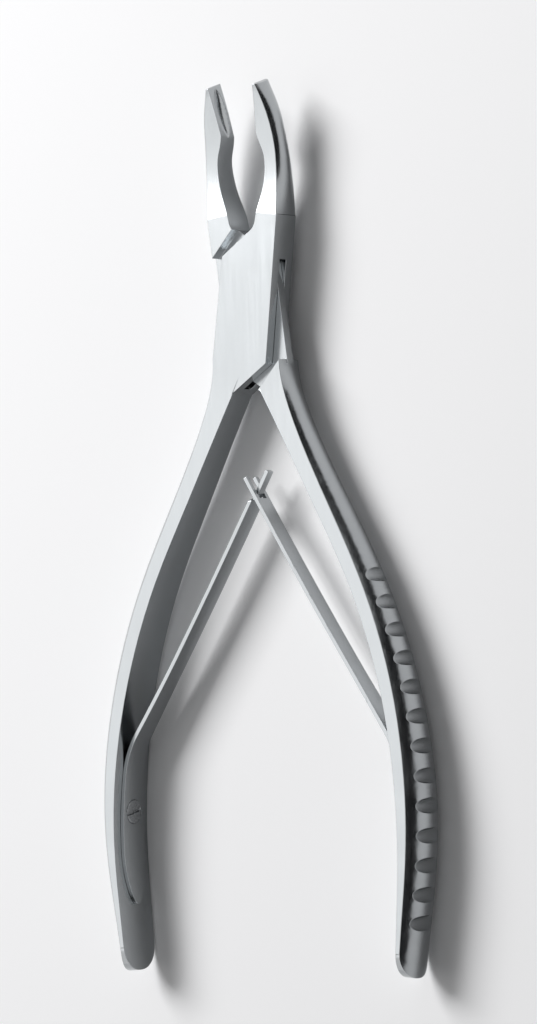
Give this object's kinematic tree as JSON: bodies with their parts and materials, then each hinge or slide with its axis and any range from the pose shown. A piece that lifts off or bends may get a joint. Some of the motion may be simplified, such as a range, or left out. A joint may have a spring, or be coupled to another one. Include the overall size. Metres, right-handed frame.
{
  "type": "bone clamp",
  "caption": "Spring-loaded rongeur-type bone clamp with bowed grooved handles, a box joint and forward-curving cupped jaws, held open by crossing leaf springs.",
  "frame": {"origin": "where the pivot axis meets the flat back face of the box joint, on which the clamp rests", "axes": "+Y along the clamp towards the jaws, +X towards the half with the forked spring, +Z along the pivot, the way the jaws curve"},
  "size_m": [0.0626, 0.144, 0.0096],
  "materials": {
    "forged_steel": "satin-polished stainless steel forging",
    "spring_steel": "polished stainless spring strip",
    "screw_steel": "turned stainless steel"
  },
  "bodies": {
    "female_body": {"female_half": "forged_steel", "pivot_pin": "forged_steel", "tongue_spring": "spring_steel", "tongue_spring_screw": "screw_steel"},
    "male_body": {"male_half": "forged_steel", "fork_spring": "spring_steel", "fork_spring_screw": "screw_steel"}
  },
  "joints": [
    {"name": "jaw_pivot", "type": "hinge", "parent": "female_body", "child": "male_body", "pos_m": [0, 0, 0], "axis": [0, 0, -1], "range_deg": [0, 13.8], "stiffness_Nm_per_rad": 3.5, "springref_deg": -5.73, "deforming": ["tongue_spring", "fork_spring"]}
  ]
}
